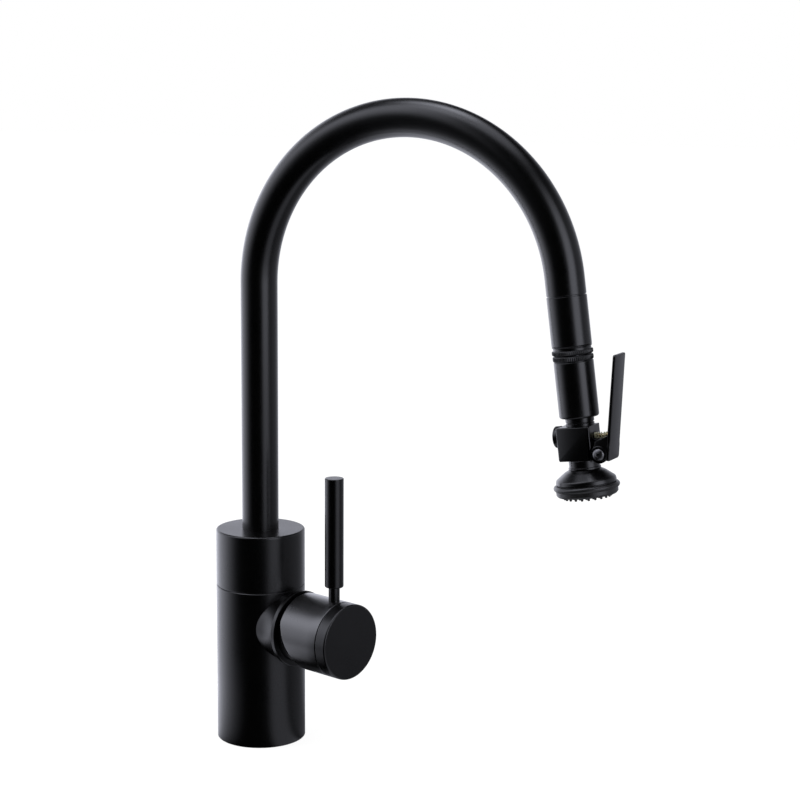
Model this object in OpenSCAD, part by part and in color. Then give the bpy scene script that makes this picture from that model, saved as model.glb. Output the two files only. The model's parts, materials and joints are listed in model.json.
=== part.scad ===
// Single-hole pull-down kitchen faucet with a squeeze-lever spray head.
// Z is up and the deck is at Z = 0. The spout reaches along +X, and the
// mixer handle sticks out a little to the -Y side of it.

/* [Base] */
// Radius of the base and of the turning hub above it
body_r = 31; // [29:0.5:34]
// Height of the base, up to the seam under the hub
base_h = 110.6; // [108:0.2:113]
// Wall of the base shell
base_wall = 3.4; // [2.5:0.1:4]
// Height of the hub above the seam
hub_h = 38.8; // [36:0.2:44]

/* [Spout] */
// Outside diameter of the spout tube
tube_d = 25.4; // [24.8:0.1:26]
// Wall of the spout tube
tube_wall = 1.2; // [1:0.1:1.4]
// Height of the top of the straight riser
riser_top = 322.7; // [260:0.1:360]
// Bend radius of the spout at the tube's centre
bend_r = 113.9; // [95:0.1:130]
// Angle that the spout bends through
bend_angle = 172.1; // [165:0.1:178]
// Outside diameter of the spray hose
hose_d = 11; // [10:0.5:11.5]

/* [Handle] */
// Height of the handle's axis above the deck
handle_z = 85.4; // [84:0.1:87]
// Plan angle of the handle's axis from the spout's reach
handle_turn = -14.1; // [-90:0.1:90]
// Radius of the handle drum and its cap
drum_r = 25.9; // [25.5:0.1:26.5]
// Distance from the riser's axis to the handle's flat end
drum_end = 87.7; // [86:0.1:92]
// Thickness of the handle's cap
cap_t = 8.7; // [7:0.1:9]
// Diameter of the lever rod
rod_d = 12.8; // [11:0.1:16]
// Height of the top of the lever rod above the deck
rod_top = 196.5; // [160:0.5:220]
// Diameter of the thin stem under the lever rod
stem_d = 7.6; // [6:0.1:9]
// Largest tilt of the handle, which its slanted skirt makes room for
tilt_max = 20.3; // [18:0.1:20.5]

/* [Spray wand] */
// Radius of the wand's grip
grip_r = 12.7; // [12.5:0.1:13]
// Radius of the knurled lock ring
ring_r = 13.15; // [13.05:0.05:13.3]
// Number of teeth round each knurled ring
knurl_teeth = 64; // [40:2:80]
// Width of the valve block across the lever's pivot
block_w = 18.5; // [18.3:0.1:19]
// Radius of the rubber spray face at its widest
face_r = 21.2; // [20.8:0.1:23]

/* [Squeeze lever] */
// Width of the lever across its ears
lever_w = 17.8; // [17.6:0.1:18]
// Thickness of the lever plate at its tip
lever_t = 2.1; // [1.6:0.1:2.3]
// Length of the lever from its pivot to its tip
lever_l = 63.9; // [50:0.1:70]
// Angle between the lever and the wand's axis at rest
lever_lean = 9.95; // [9.9:0.05:11]

/* [Hidden] */
$fn = 64;
BLACK = "#1c1c1f";
RUBBER = "#131315";
BRASS = "#b08d57";
STEEL = "#b9bcc0";
CERAMIC = "#e8e6df";
PLASTIC = "#d9d6cc";
NYLON = "#2a2a2d";

// Base, from the deck up
shell_in = body_r - base_wall;
shank_r = 16.2;
shank_depth = 14;
core_r = 19.4;
core_top = base_h - 4.2;
passage_r = 6.3;
port_r = 3.6;
port_depth = 12;
port_top = shank_depth + port_depth;
supply_x = 4.5;
supply_y = 9.8;
outlet_x = 11.2;
spigot_thread_r = 13.5;
spigot_low = base_h - 12.2;
spigot_r = 18;
washer_t = 0.8;

// Hub, which turns on the spigot
hub_low = base_h + washer_t;
hub_top = hub_low + hub_h;
hub_bore = 20.6;
hub_ceiling = hub_top - 7.7;
spigot_top = hub_ceiling - 0.6;
bush_h = 8;
bush_gap = 0.06;
groove_z = hub_low + 16;
groove_h = 4.6;
hub_screw_r = 2.5;

// Spout tube
tube_r = tube_d / 2;
tube_in = tube_r - tube_wall;
hose_r = hose_d / 2;
hose_in = 3.8;
hose_low = shank_depth + 8;
lean = 180 - bend_angle;
end_x = bend_r + bend_r * cos(lean);
end_z = riser_top + bend_r * sin(lean);

// Handle, as distances along its axis from the riser's axis
seat_l = 15;
neck_r = 23.8;
rim_r = 26.4;
rim_l = 40;
rim_w = 2.8;
nut_front = 44;
nut_r = 22.4;
nut_thread_r = 19.4;
nut_hole = 14;
socket_r = 21.3;
cartridge_r = 17.2;
pivot_l = 34;
skirt_l = 43.3;
relief_l = 47.2;
drum_in = drum_r - 2.5;
drum_web = 62;
cap_l = drum_end - cap_t;
cap_spigot_r = 21.9;
rod_l = 71.9;
rod_low = 121.2;
stem_low = handle_z + drum_r - 8;
stem_high = rod_low + 8;
disc_port_y = 9.2;
disc_port_up = 2.5;
disc_outlet_down = 7.5;
rotor_r = 10.8;
stem_w = 7;
tip_l = 27.6;

// Wand, as distances along its axis from the end of the spout's bend
ferrule_l = 10.7;
seam_l = 11.4;
ferrule_end = 42.6;
ferrule_r = 12.8;
dock_bore = 9.5;
dock_spigot_r = 11;
dock_spigot_end = 45.2;
sleeve_r = 9.2;
sleeve_l = 24;
clip_l = 43.7;
clip_t = 0.7;
lug_l = 45.5;
lug_t = 1.2;
lug_r = 10.7;
lug_angle = 30;
ring_l = 42.9;
bead_l = 43.8;
knurl_l = 44.9;
ring_lip = 47.1;
ring_end = 48.5;
knurl_depth = 0.35;
grip_ring_l = 48.8;
grip_seat = 49.8;
flange_l = 50.1;
flange_end = 51.9;
grip_l = 52.4;
grip_end = 88.5;
grip_round = 1.6;
swivel_bore = 6.96;
swivel_r = 6.9;
block_l = 94;
block_end = 115.7;
block_in = -13.5;
block_out = 9.3;
valve_l = 100.8;
valve_r = 6.2;
seat_x = -2;
stem_r = 1.2;
pivot_s = 112;
pivot_x = 14.2;
pin_r = 2.5;
pin_gap = 0.06;
tongue_half = 6;
tongue_r = 3.9;
tongue_l = 103.4;
plate_in = 4.3;
plate_out = 6.9;
plate_tip = 7.2;
lever_foot = 3.6;
foot_l = 8;
plate_side = 0.5;
bell_neck_r = 9.8;
bell_neck_end = 121.6;
bell_r = 19.4;
bell_end = 129.8;
face_l = 131.2;
rim_bead = 1.9;
face_end = 138;
nub_end = 139.6;
bush_r = 3.3;
flange_x = 18.25;
flange_r = 2.3;

// --- Frames and shapes that repeat -----------------------------------------

// Puts its children on the handle's axis: Z runs out along it, X points down
module on_handle() {
    translate([0, 0, handle_z]) rotate([0, 0, handle_turn]) rotate([0, 90, 0]) children();
}

// Puts its children on the wand's axis: Z runs down it, X points at the lever
module on_wand() {
    translate([end_x, 0, end_z]) rotate([0, 180 - lean, 0]) rotate([0, 0, 180]) children();
}

// Puts its children on the valve's axis inside the wand: Z points at the lever
module on_valve() {
    on_wand() translate([0, 0, valve_l]) rotate([0, 90, 0]) children();
}

// A solid cylinder between two stations on the local Z axis
module rod(r, low, high) {
    translate([0, 0, low]) cylinder(r = r, h = high - low);
}

// A tube between two stations on the local Z axis
module ring(r_out, r_in, low, high) {
    difference() {
        rod(r_out, low, high);
        rod(r_in, low - 1, high + 1);
    }
}

// An O-ring with its cord's centre at radius r
module o_ring(r, cord_r, at) {
    translate([0, 0, at]) rotate_extrude() translate([r, 0]) circle(r = cord_r, $fn = 24);
}

// A solid of revolution from [radius, station] points
module turned(points) {
    rotate_extrude() polygon(points);
}

// A knurled band: straight teeth all round
module knurled(r, low, high) {
    points = [for (i = [0 : 2 * knurl_teeth - 1])
        let (a = i * 180 / knurl_teeth, q = i % 2 == 0 ? r : r - knurl_depth)
        [q * cos(a), q * sin(a)]];
    translate([0, 0, low]) linear_extrude(high - low) polygon(points);
}

// A hexagon prism, for sockets and nuts
module hexagon(r, low, high) {
    translate([0, 0, low]) cylinder(r = r, h = high - low, $fn = 6);
}

// A wedge that holds everything within half_angle of the local X axis
module wedge(half_angle, r, low, high) {
    points = [[0, 0], [r, -r * tan(half_angle)], [r, r * tan(half_angle)]];
    translate([0, 0, low]) linear_extrude(high - low) polygon(points);
}

// --- Base ------------------------------------------------------------------

// Outer shell with the flared neck that the handle stands on
module base_shell() color(BLACK) {
    flare = [for (i = [0 : 8])
        let (t = i / 8)
        [neck_r + (rim_r - 0.4 - neck_r) * t * t, 25 + (rim_l - rim_w - 25) * t]];
    difference() {
        union() {
            turned([[0, 0], [body_r - 0.4, 0], [body_r, 0.4], [body_r, base_h - 0.4],
                [body_r - 0.4, base_h], [0, base_h]]);
            on_handle() turned(concat([[0, 18], [neck_r, 18]], flare,
                [[rim_r, rim_l - rim_w], [rim_r, rim_l - 0.3], [rim_r - 0.3, rim_l],
                [0, rim_l]]));
        }
        rod(shell_in, -1, core_top);
        rod(spigot_thread_r, 0, base_h + 1);
        on_handle() rod(socket_r + 0.2, 0, rim_l + 1);
        on_handle() rod(nut_r + 0.4, rim_l - 2.2, rim_l + 1);
    }
}

module base_gasket() color(RUBBER) ring(25.5, 22.5, 0, 1.6);

// Brass core: shank thread, three waterways, hose passage and cartridge socket
module waterway_core() color(BRASS) {
    difference() {
        union() {
            rod(shell_in - 0.1, 0, 9);
            rod(core_r, 0, core_top);
            rod(shell_in - 0.1, core_top - 7, core_top);
            on_handle() rod(socket_r, 0, 38);
        }
        ring(25.6, 22.4, -1, 1.7);
        rod(shank_r, -1, shank_depth);
        rod(passage_r, 0, core_top + 1);
        rod(spigot_thread_r, spigot_low, core_top + 1);
        on_handle() rod(cartridge_r + 0.1, seat_l, 39);
        on_handle() rod(nut_thread_r, 30.5, 39);
        rotate([0, 0, handle_turn]) {
            for (side = [-1, 1]) translate([supply_x, side * supply_y, 0]) {
                rod(3, 0, handle_z + disc_port_up);
                rod(port_r, 0, port_top);
            }
            translate([outlet_x, 0, 0]) {
                rod(2.9, 0, handle_z - disc_outlet_down);
                rod(port_r, 0, port_top);
            }
        }
        on_handle() {
            for (side = [-1, 1]) translate([-disc_port_up, side * disc_port_y, 0])
                rod(2.5, supply_x, seat_l + 1);
            translate([disc_outlet_down, 0, 0]) rod(2.5, outlet_x, seat_l + 1);
        }
    }
}

// Post that the hub turns on, with a groove for the hub's set screw
module swivel_spigot() color(BRASS) {
    difference() {
        union() {
            rod(spigot_thread_r, spigot_low, base_h);
            rod(spigot_r, base_h, spigot_top);
        }
        rod(8, spigot_low - 1, spigot_top + 1);
        ring(spigot_r + 1, spigot_r - 1, groove_z - groove_h / 2, groove_z + groove_h / 2);
    }
}

module thrust_washer() color(NYLON) ring(body_r - 0.7, spigot_r + 0.3, base_h, hub_low);

// --- Cartridge -------------------------------------------------------------

// Leaves the three ports of the cartridge in whatever it cuts
module cartridge_ports(r) {
    for (side = [-1, 1]) translate([-disc_port_up, side * disc_port_y, 0]) rod(r, 0, 30);
    translate([disc_outlet_down, 0, 0]) rod(r, 0, 30);
}

module cartridge_housing() color(PLASTIC) on_handle() difference() {
    rod(cartridge_r, seat_l, 33);
    rod(15.6, seat_l - 1, 30);
    rod(rotor_r + 0.06, 29, 34);
}

module cartridge_base() color(PLASTIC) on_handle() difference() {
    rod(15.5, seat_l, 18.8);
    cartridge_ports(2.6);
    intersection() {
        cartridge_ports(3.9);
        rod(15.5, seat_l - 1, seat_l + 1.3);
    }
}

module cartridge_seals() color(RUBBER) on_handle() {
    for (side = [-1, 1]) translate([-disc_port_up, side * disc_port_y, 0])
        o_ring(3.2, 0.6, seat_l + 0.65);
    translate([disc_outlet_down, 0, 0]) o_ring(3.2, 0.6, seat_l + 0.65);
}

module fixed_disc() color(CERAMIC) on_handle() difference() {
    rod(13.5, 18.8, 22.4);
    cartridge_ports(2.6);
}

// Nut that clamps the cartridge, with the collar seen behind the handle
module bonnet_nut() color(BLACK) on_handle() difference() {
    union() {
        rod(nut_thread_r, 31, 38);
        turned([[0, 38], [nut_r, 38], [nut_r, nut_front - 0.8], [nut_r - 0.8, nut_front],
            [0, nut_front]]);
    }
    rod(cartridge_r + 0.1, 30, 33);
    rod(nut_hole, 32, nut_front + 1);
}

// Part of the cartridge that turns for temperature and carries the lever pin
module cartridge_rotor() color(PLASTIC) on_handle() difference() {
    union() {
        rod(rotor_r, 28.6, 37);
        rod(13.5, 28.6, 29.8);
    }
    translate([-6, -stem_w / 2 - 0.25, 28]) cube([12, stem_w + 0.5, 10]);
    ring(rotor_r + 1, rotor_r - 1, 30.9, 32.3);
    translate([0, 0, pivot_l]) rotate([90, 0, 0]) rod(1.5, -9, 9);
}

module rotor_o_ring() color(RUBBER) on_handle() o_ring(rotor_r - 0.48, 0.5, 31.6);

module stem_pin() color(STEEL) on_handle() translate([0, 0, pivot_l])
    rotate([90, 0, 0]) rod(1.5, -9, 9);

module moving_disc() color(CERAMIC) on_handle() difference() {
    rod(12.3, 22.4, 25);
    translate([disc_outlet_down - 1.5, 0, 0]) rod(3.6, 22, 24);
}

module disc_carrier() color(PLASTIC) on_handle() difference() {
    rod(12.3, 25, 28.3);
    rod(2.8, 24, 29);
}

// --- Handle ----------------------------------------------------------------

// Steel lever inside the cartridge: ball tip, pivot hole and square drive
module cartridge_stem() color(STEEL) on_handle() difference() {
    union() {
        translate([-stem_w / 2, -stem_w / 2, 30.2]) cube([stem_w, stem_w, 44]);
        rod(1.9, tip_l, 31);
        translate([0, 0, tip_l]) sphere(r = 2.4);
    }
    translate([0, 0, pivot_l]) rotate([90, 0, 0]) rod(1.56, -9, 9);
}

module handle_drum() color(BLACK) on_handle() difference() {
    rod(drum_r, skirt_l, cap_l);
    ring(drum_r + 1, drum_r - 0.4, cap_l - 0.5, cap_l + 1);
    difference() {
        rod(drum_in, skirt_l - 1, drum_web);
        rod(9, 52, drum_web + 1);
    }
    rod(cap_spigot_r + 0.1, cap_l - 3, cap_l + 1);
    translate([-stem_w / 2, -stem_w / 2, 50]) cube([stem_w, stem_w, 24.2]);
    translate([0, 0, relief_l]) rotate([0, -tilt_max, 0])
        translate([-60, -40, -40]) cube([120, 80, 40]);
    translate([0, 0, 66]) rotate([0, 90, 0]) rod(2, 0, drum_r + 1);
    translate([0, 0, rod_l]) rotate([0, -90, 0]) rod(stem_d / 2, drum_r - 8, drum_r + 1);
}

module handle_cap() color(BLACK) on_handle() {
    rod(cap_spigot_r, cap_l - 2.8, cap_l);
    turned([[0, cap_l], [drum_r - 0.4, cap_l], [drum_r, cap_l + 0.4],
        [drum_r, drum_end - 1.1], [drum_r - 0.3, drum_end - 0.3],
        [drum_r - 1.1, drum_end], [0, drum_end]]);
}

module handle_set_screw() color(STEEL) on_handle() translate([0, 0, 66])
    rotate([0, 90, 0]) difference() {
        rod(2, stem_w / 2, stem_w / 2 + 8);
        hexagon(1.15, stem_w / 2 + 6, stem_w / 2 + 9);
    }

// Places its children on the lever rod's vertical axis
module on_rod() {
    rotate([0, 0, handle_turn]) translate([rod_l, 0, 0]) children();
}

module lever_stem() color(BLACK) on_rod() rod(stem_d / 2, stem_low, stem_high);

module lever_rod() color(BLACK) on_rod() difference() {
    turned([[0, rod_low], [rod_d / 2 - 1, rod_low], [rod_d / 2, rod_low + 1],
        [rod_d / 2, rod_top - 0.5], [rod_d / 2 - 0.5, rod_top], [0, rod_top]]);
    rod(stem_d / 2, rod_low - 1, stem_high);
}

// --- Spout -----------------------------------------------------------------

module hub_collar() color(BLACK) difference() {
    turned([[0, hub_low], [body_r - 0.4, hub_low], [body_r, hub_low + 0.4],
        [body_r, hub_top - 0.6], [body_r - 0.6, hub_top], [0, hub_top]]);
    rod(hub_bore, hub_low - 1, hub_ceiling);
    rod(tube_r, hub_ceiling - 1, hub_top + 1);
    translate([0, 0, groove_z]) rotate([0, -90, 0]) rod(hub_screw_r, 0, body_r + 1);
}

module swivel_bushes() color(NYLON) {
    for (low = [hub_low + 1.2, hub_ceiling - 1.4 - bush_h])
        ring(hub_bore, spigot_r + bush_gap, low, low + bush_h);
}

module hub_set_screw() color(STEEL) translate([0, 0, groove_z]) rotate([0, -90, 0])
    difference() {
        union() {
            rod(hub_screw_r, hub_bore - 0.6, body_r - 1.2);
            rod(1.6, spigot_r - 0.7, hub_bore);
        }
        hexagon(1.45, body_r - 4.2, body_r);
    }

// A pipe along the spout's centreline: the riser from the height low, the
// bend, and a straight end
module spout_pipe(r_out, r_in, low, past_end) {
    ring(r_out, r_in, low, riser_top);
    translate([bend_r, 0, riser_top]) rotate([90, 0, 0]) mirror([1, 0, 0]) {
        rotate_extrude(angle = bend_angle) translate([bend_r, 0]) difference() {
            circle(r = r_out);
            circle(r = r_in);
        }
        if (past_end > 0) rotate([0, 0, bend_angle]) translate([bend_r, 0, 0])
            rotate([-90, 0, 0]) ring(r_out, r_in, 0, past_end);
    }
}

module spout_tube() color(BLACK) spout_pipe(tube_r, tube_in, hub_ceiling, ferrule_l);

// End piece of the spout that the wand docks in
module ferrule() color(BLACK) on_wand() difference() {
    union() {
        rod(tube_in, 4, ferrule_l);
        turned([[0, ferrule_l], [tube_in + 0.6, ferrule_l], [tube_in + 0.6, seam_l],
            [ferrule_r - 0.2, seam_l], [ferrule_r, seam_l + 0.2], [ferrule_r, ferrule_end - 0.4],
            [ferrule_r - 0.4, ferrule_end], [0, ferrule_end]]);
        rod(dock_spigot_r, ferrule_end, dock_spigot_end);
    }
    rod(10.4, 3, 41);
    rod(dock_bore, 40, dock_spigot_end + 1);
    ring(dock_spigot_r + 1, 10.4, clip_l - 0.1, clip_l + clip_t + 0.1);
}

module dock_liner() color(PLASTIC) on_wand() ring(10.4, dock_bore, 13, 41);

module lock_clip() color(STEEL) on_wand() difference() {
    ring(11.7, 10.4, clip_l, clip_l + clip_t);
    wedge(20, 14, clip_l - 1, clip_l + 2);
}

// Smooth mouth that keeps the hose off the tube's inside edge
module hose_guide() color(PLASTIC) on_wand() difference() {
    rod(10.4, 4.2, 12.4);
    rod(6.4, 4, 13);
    turned([[0, 4], [9.4, 4], [7.4, 5.2], [6.4, 7.2], [0, 7.2]]);
}

// Hose through the spout, the hub and the base
module spray_hose() color(NYLON) spout_pipe(hose_r, hose_in, hose_low, 0);

module hose_coupling() color(BRASS) difference() {
    union() {
        rod(5, shank_depth + 0.3, shank_depth + 2);
        rod(5.9, shank_depth + 2, hose_low);
    }
    rod(hose_in, shank_depth, hose_low + 1);
}

// --- Twist lock ------------------------------------------------------------

// Knurled ring whose lip holds the sleeve's lugs once it is turned
module lock_ring() color(BLACK) on_wand() difference() {
    union() {
        rod(ring_r - 0.3, ring_l, bead_l);
        rod(ring_r - 0.9, bead_l - 0.1, knurl_l + 0.1);
        knurled(ring_r, knurl_l, ring_end);
    }
    rod(11.3, ring_l - 1, ring_lip);
    rod(dock_bore, ring_l, ring_end + 1);
    ring(11.8, 11, clip_l - 0.2, clip_l + clip_t + 0.2);
    for (turn = [90, 270]) rotate([0, 0, turn]) intersection() {
        wedge(lug_angle / 2 + 3, 12, ring_l, ring_end + 1);
        rod(11.1, ring_l, ring_end + 1);
    }
}

// --- Docking sleeve and hose end -------------------------------------------

module docking_sleeve() color(STEEL) on_wand() difference() {
    union() {
        turned([[0, sleeve_l], [sleeve_r - 1, sleeve_l], [sleeve_r, sleeve_l + 1.5],
            [sleeve_r, flange_l], [10.4, flange_l], [10.4, flange_end], [0, flange_end]]);
        rod(swivel_r, flange_end - 1, 69.5);
        for (turn = [90, 270]) rotate([0, 0, turn]) intersection() {
            wedge(lug_angle / 2, 12, lug_l, lug_l + lug_t);
            rod(lug_r, lug_l, lug_l + lug_t);
        }
    }
    rod(hose_r, sleeve_l - 1, 50);
    rod(hose_in, 49, 70);
    for (at = [59, 65]) ring(swivel_r + 1, 5.6, at - 0.8, at + 0.8);
}

module hose_tail() color(NYLON) on_wand() ring(hose_r, hose_in, 0.02, 50);

module hose_crimp() color(STEEL) on_wand() ring(6.8, hose_r, 16.5, sleeve_l);

module swivel_o_rings() color(RUBBER) on_wand() {
    for (at = [59, 65]) o_ring(6.27, 0.65, at);
}

// --- Wand ------------------------------------------------------------------

module grip_ring() color(BLACK) on_wand() difference() {
    knurled(grip_r + 0.3, grip_ring_l, grip_l);
    rod(dock_bore, grip_ring_l - 1, grip_l + 1);
    rod(11.7, grip_seat, grip_l + 1);
}

module grip_sleeve() color(BLACK) on_wand() {
    corner = [for (a = [0 : 15 : 90])
        [grip_r - grip_round + grip_round * cos(a), grip_end - grip_round + grip_round * sin(a)]];
    difference() {
        union() {
            rod(11.7, grip_seat, grip_l);
            turned(concat([[0, grip_l], [grip_r - 0.3, grip_l], [grip_r, grip_l + 0.3]],
                corner, [[0, grip_end]]));
        }
        rod(10.7, grip_seat - 1, grip_l);
        rod(9.3, grip_seat - 1, 57);
        rod(11.2, 56, 85.6);
        rod(8.8, 85, grip_end + 1);
    }
}

module wand_waterway() color(PLASTIC) on_wand() difference() {
    union() {
        rod(9.2, 53.2, 84);
        rod(11.1, 56.2, 58.5);
    }
    rod(swivel_bore, 53, 70.5);
    rod(4.2, 70, 85);
    rod(6.1, 72, 85);
}

// One-way valve that stops dirty water running back up the hose
module check_valve() color(PLASTIC) on_wand() {
    ring(6, 4.4, 72, 80);
    for (turn = [0, 60, 120]) rotate([0, 0, turn])
        translate([-4.6, -0.5, 77]) cube([9.2, 1, 2.4]);
    turned([[0, 73.4], [3.6, 76.4], [3.6, 77.4], [0, 77.4]]);
}

module wand_neck() color(BLACK) on_wand() difference() {
    union() {
        rod(8.7, 84.1, grip_end + 0.1);
        turned([[0, grip_end + 0.1], [9.15, grip_end + 0.1], [9.15, 91.2], [8.6, 91.5],
            [8.6, 91.9], [9.1, 92.2], [9.1, block_l], [0, block_l]]);
        rod(6.5, block_l, block_l + 1.5);
    }
    rod(4.2, 83, 97);
}

// Valve block: cross bore for the plunger, inlet above it, outlet below it
module valve_block() color(BLACK) on_wand() difference() {
    union() {
        translate([block_in, -block_w / 2, block_l])
            cube([block_out - block_in, block_w, block_end - block_l]);
        rotate([90, 0, 0]) translate([0, 0, -tongue_half]) linear_extrude(2 * tongue_half)
            polygon([[block_out - 1, tongue_l], [pivot_x + 2.2, tongue_l],
                [pivot_x + 3.2, tongue_l + 1], [pivot_x + tongue_r, pivot_s],
                [pivot_x, block_end], [block_out - 1, block_end]]);
        translate([pivot_x, 0, pivot_s]) rotate([90, 0, 0])
            rod(tongue_r, -tongue_half, tongue_half);
    }
    rod(6.5, block_l - 1, block_l + 1.5);
    translate([-5, 0, 0]) rod(2.8, block_l, valve_l);
    translate([2, 0, 0]) rod(2.2, valve_l, block_end + 1);
    translate([0, 0, valve_l]) rotate([0, 90, 0]) {
        rod(valve_r, block_in - 1, seat_x + 2);
        rod(3.6, seat_x, 6);
        rod(bush_r, 5, block_out + 1);
    }
    for (side = [-1, 1]) translate([pivot_x, side * (tongue_half + 5), pivot_s])
        rotate([90, 0, 0]) rod(6.3, -4.9, 4.9);
    translate([pivot_x, 0, pivot_s]) rotate([90, 0, 0]) rod(pin_r, -10, 10);
    for (corner = [[block_in, 1], [block_in, -1]])
        translate([corner[0], corner[1] * block_w / 2, block_l - 1]) rotate([0, 0, 45])
            translate([-0.5, -0.5, 0]) cube([1, 1, 30]);
}

// Round plug that closes the cross bore on the side away from the lever
module bore_plug() color(BLACK) on_valve() difference() {
    union() {
        rod(valve_r, block_in, -9.6);
        turned([[0, -17.4], [6.3, -17.4], [7.05, -16.6], [7.05, block_in], [0, block_in]]);
    }
    ring(valve_r + 1, 5, -12.2, -10.8);
}

module plug_o_ring() color(RUBBER) on_valve() o_ring(5.6, 0.58, -11.5);

module valve_seat() color(BRASS) on_valve() ring(valve_r, 3, seat_x, seat_x + 2);

module gland_bush() color(BRASS) on_valve() difference() {
    rod(bush_r, 6, block_out);
    rod(stem_r + 0.06, 5, block_out + 1);
}

module pivot_pin() color(BLACK) on_wand() translate([pivot_x, 0, pivot_s])
    rotate([-90, 0, 0]) difference() {
        union() {
            rod(pin_r, -10.6, 9.2);
            turned([[0, 9.2], [3.9, 9.2], [3.9, 9.7], [3.5, 10.4], [2.7, 10.9],
                [1.5, 11.3], [0, 11.3]]);
        }
        hexagon(1.2, 10, 12);
    }

module pivot_clip() color(STEEL) on_wand() translate([pivot_x, 0, pivot_s])
    rotate([-90, 0, 0]) ring(4.2, pin_r, -10.1, -9.2);

module bell_nut() color(BLACK) on_wand() difference() {
    turned([[0, block_end], [bell_neck_r, block_end], [bell_neck_r, 120.2],
        [bell_neck_r + 0.5, 120.4], [bell_neck_r + 0.5, bell_neck_end], [0, bell_neck_end]]);
    rod(4.5, block_end - 1, bell_neck_end + 1);
    rod(6.5, 119, bell_neck_end + 1);
}

// Flared cup over the spray face
module spray_bell() color(BLACK) on_wand() {
    rim_arc = [for (a = [60 : -15 : 0])
        [bell_r - 2.4 + 2.4 * cos(a), bell_end - 1.6 - 2.4 * sin(a)]];
    difference() {
        union() {
            rod(6.5, 119, bell_neck_end);
            turned(concat([[0, bell_neck_end], [bell_neck_r, bell_neck_end]], rim_arc,
                [[bell_r, bell_end], [0, bell_end]]));
        }
        rod(4.5, 118, 124);
        turned([[0, 123.4], [8, 123.4], [16.2, 127.8], [17.4, 128.8], [17.4, 132], [0, 132]]);
    }
    difference() {
        union() {
            rod(3.2, 122.6, bell_end - 1);
            for (turn = [0, 120, 240]) rotate([0, 0, turn])
                translate([0, -0.9, 122.6]) cube([6.4, 1.8, 2.4]);
        }
        rod(1.5, 122, 131);
    }
}

module distributor_plate() color(STEEL) on_wand() difference() {
    rod(17.3, bell_end - 1, bell_end + 0.2);
    rod(1.7, 128, 132);
    for (row = [[6, 8], [11, 14]], i = [1 : row[1]]) rotate([0, 0, i * 360 / row[1]])
        translate([row[0], 0, 0]) rod(1, 128, 132);
}

module face_gasket() color(RUBBER) on_wand() ring(18.4, 17.4, bell_end, face_l);

// Rubber spray face: a rounded rim, a lower step and rows of soft nozzles
module spray_face() color(RUBBER) on_wand() difference() {
    rim = [for (a = [-90 : 20 : 70])
        [face_r - rim_bead + rim_bead * cos(a), face_l + rim_bead + rim_bead * sin(a)]];
    union() {
        turned(concat([[0, face_l]], rim, [[19.6, 135.2], [19.6, 136.6], [18.9, 137.6],
            [17.6, face_end], [0, face_end]]));
        for (row = [[6.2, 8], [10.5, 15], [14.8, 22]], i = [1 : row[1]])
            rotate([0, 0, i * 360 / row[1]]) translate([row[0], 0, 0])
                rod(0.75, face_end - 0.5, nub_end);
    }
    rod(16.5, 131, 133.4);
    rod(1.5, 130, 140);
    rod(3.3, 137, 140);
}

module face_screw() color(STEEL) on_wand() difference() {
    union() {
        rod(1.5, 124, 137);
        rod(3.1, 137, 138.6);
    }
    hexagon(1.2, 137.4, 139);
}

// --- Squeeze lever and plunger ---------------------------------------------

// Half of the lever plate's outline, from its foot to its tip
function lever_outline() = let (foot = lever_w / 2, side = foot - plate_side)
    [[foot - 2, -lever_foot], [foot - 0.6, 0.6 - lever_foot], [foot, 2 - lever_foot],
    [foot, foot_l - 3], [side, foot_l], [side, lever_l - 1.2], [side - 1.2, lever_l]];

// Tapered plate with two ears that straddle the valve block's tongue
module squeeze_lever() color(BLACK) on_wand() translate([pivot_x, 0, pivot_s])
    rotate([0, -lever_lean, 0]) rotate([0, 180, 0]) mirror([1, 0, 0]) difference() {
        union() {
            intersection() {
                rotate([90, 0, 0]) translate([0, 0, -lever_w / 2]) linear_extrude(lever_w)
                    polygon([[plate_in, -lever_foot], [plate_out, -lever_foot],
                        [plate_tip, lever_l], [plate_tip - lever_t, lever_l]]);
                rotate([90, 0, 90]) linear_extrude(plate_out + 1)
                    for (side = [0, 1]) mirror([side, 0])
                        polygon(concat([[0, -lever_foot]], lever_outline(), [[0, lever_l]]));
            }
            for (side = [-1, 1]) translate([0, side * (lever_w / 2 - 1.3), 0])
                rotate([90, 0, 0]) translate([0, 0, -1.3]) linear_extrude(2.6) {
                    polygon([[plate_in + 0.5, -3], [plate_in + 0.5, 11.2], [-2.2, 7.6],
                        [-2.9, 7], [-3.8, 4.2], [0, -3]]);
                    circle(r = 5.7);
                }
            for (side = [0, 180]) rotate([90, 0, side])
                ring(5.6, 4.4, lever_w / 2 - 0.1, lever_w / 2 + 0.5);
        }
        rotate([90, 0, 0]) rod(pin_r + pin_gap, -10, 10);
    }

module plunger() color(BRASS) on_valve() {
    rod(stem_r, -5, flange_x + 0.4);
    rod(4.6, -6.2, -3.4);
    rod(flange_r, flange_x, flange_x + 1.1);
    intersection() {
        translate([0, 0, flange_x - 0.8]) sphere(r = 2.9);
        rod(2, flange_x + 0.4, flange_x + 3.4);
    }
}

module poppet_seal() color(RUBBER) on_valve() ring(4.4, stem_r, -3.4, seat_x - 0.05);

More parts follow.
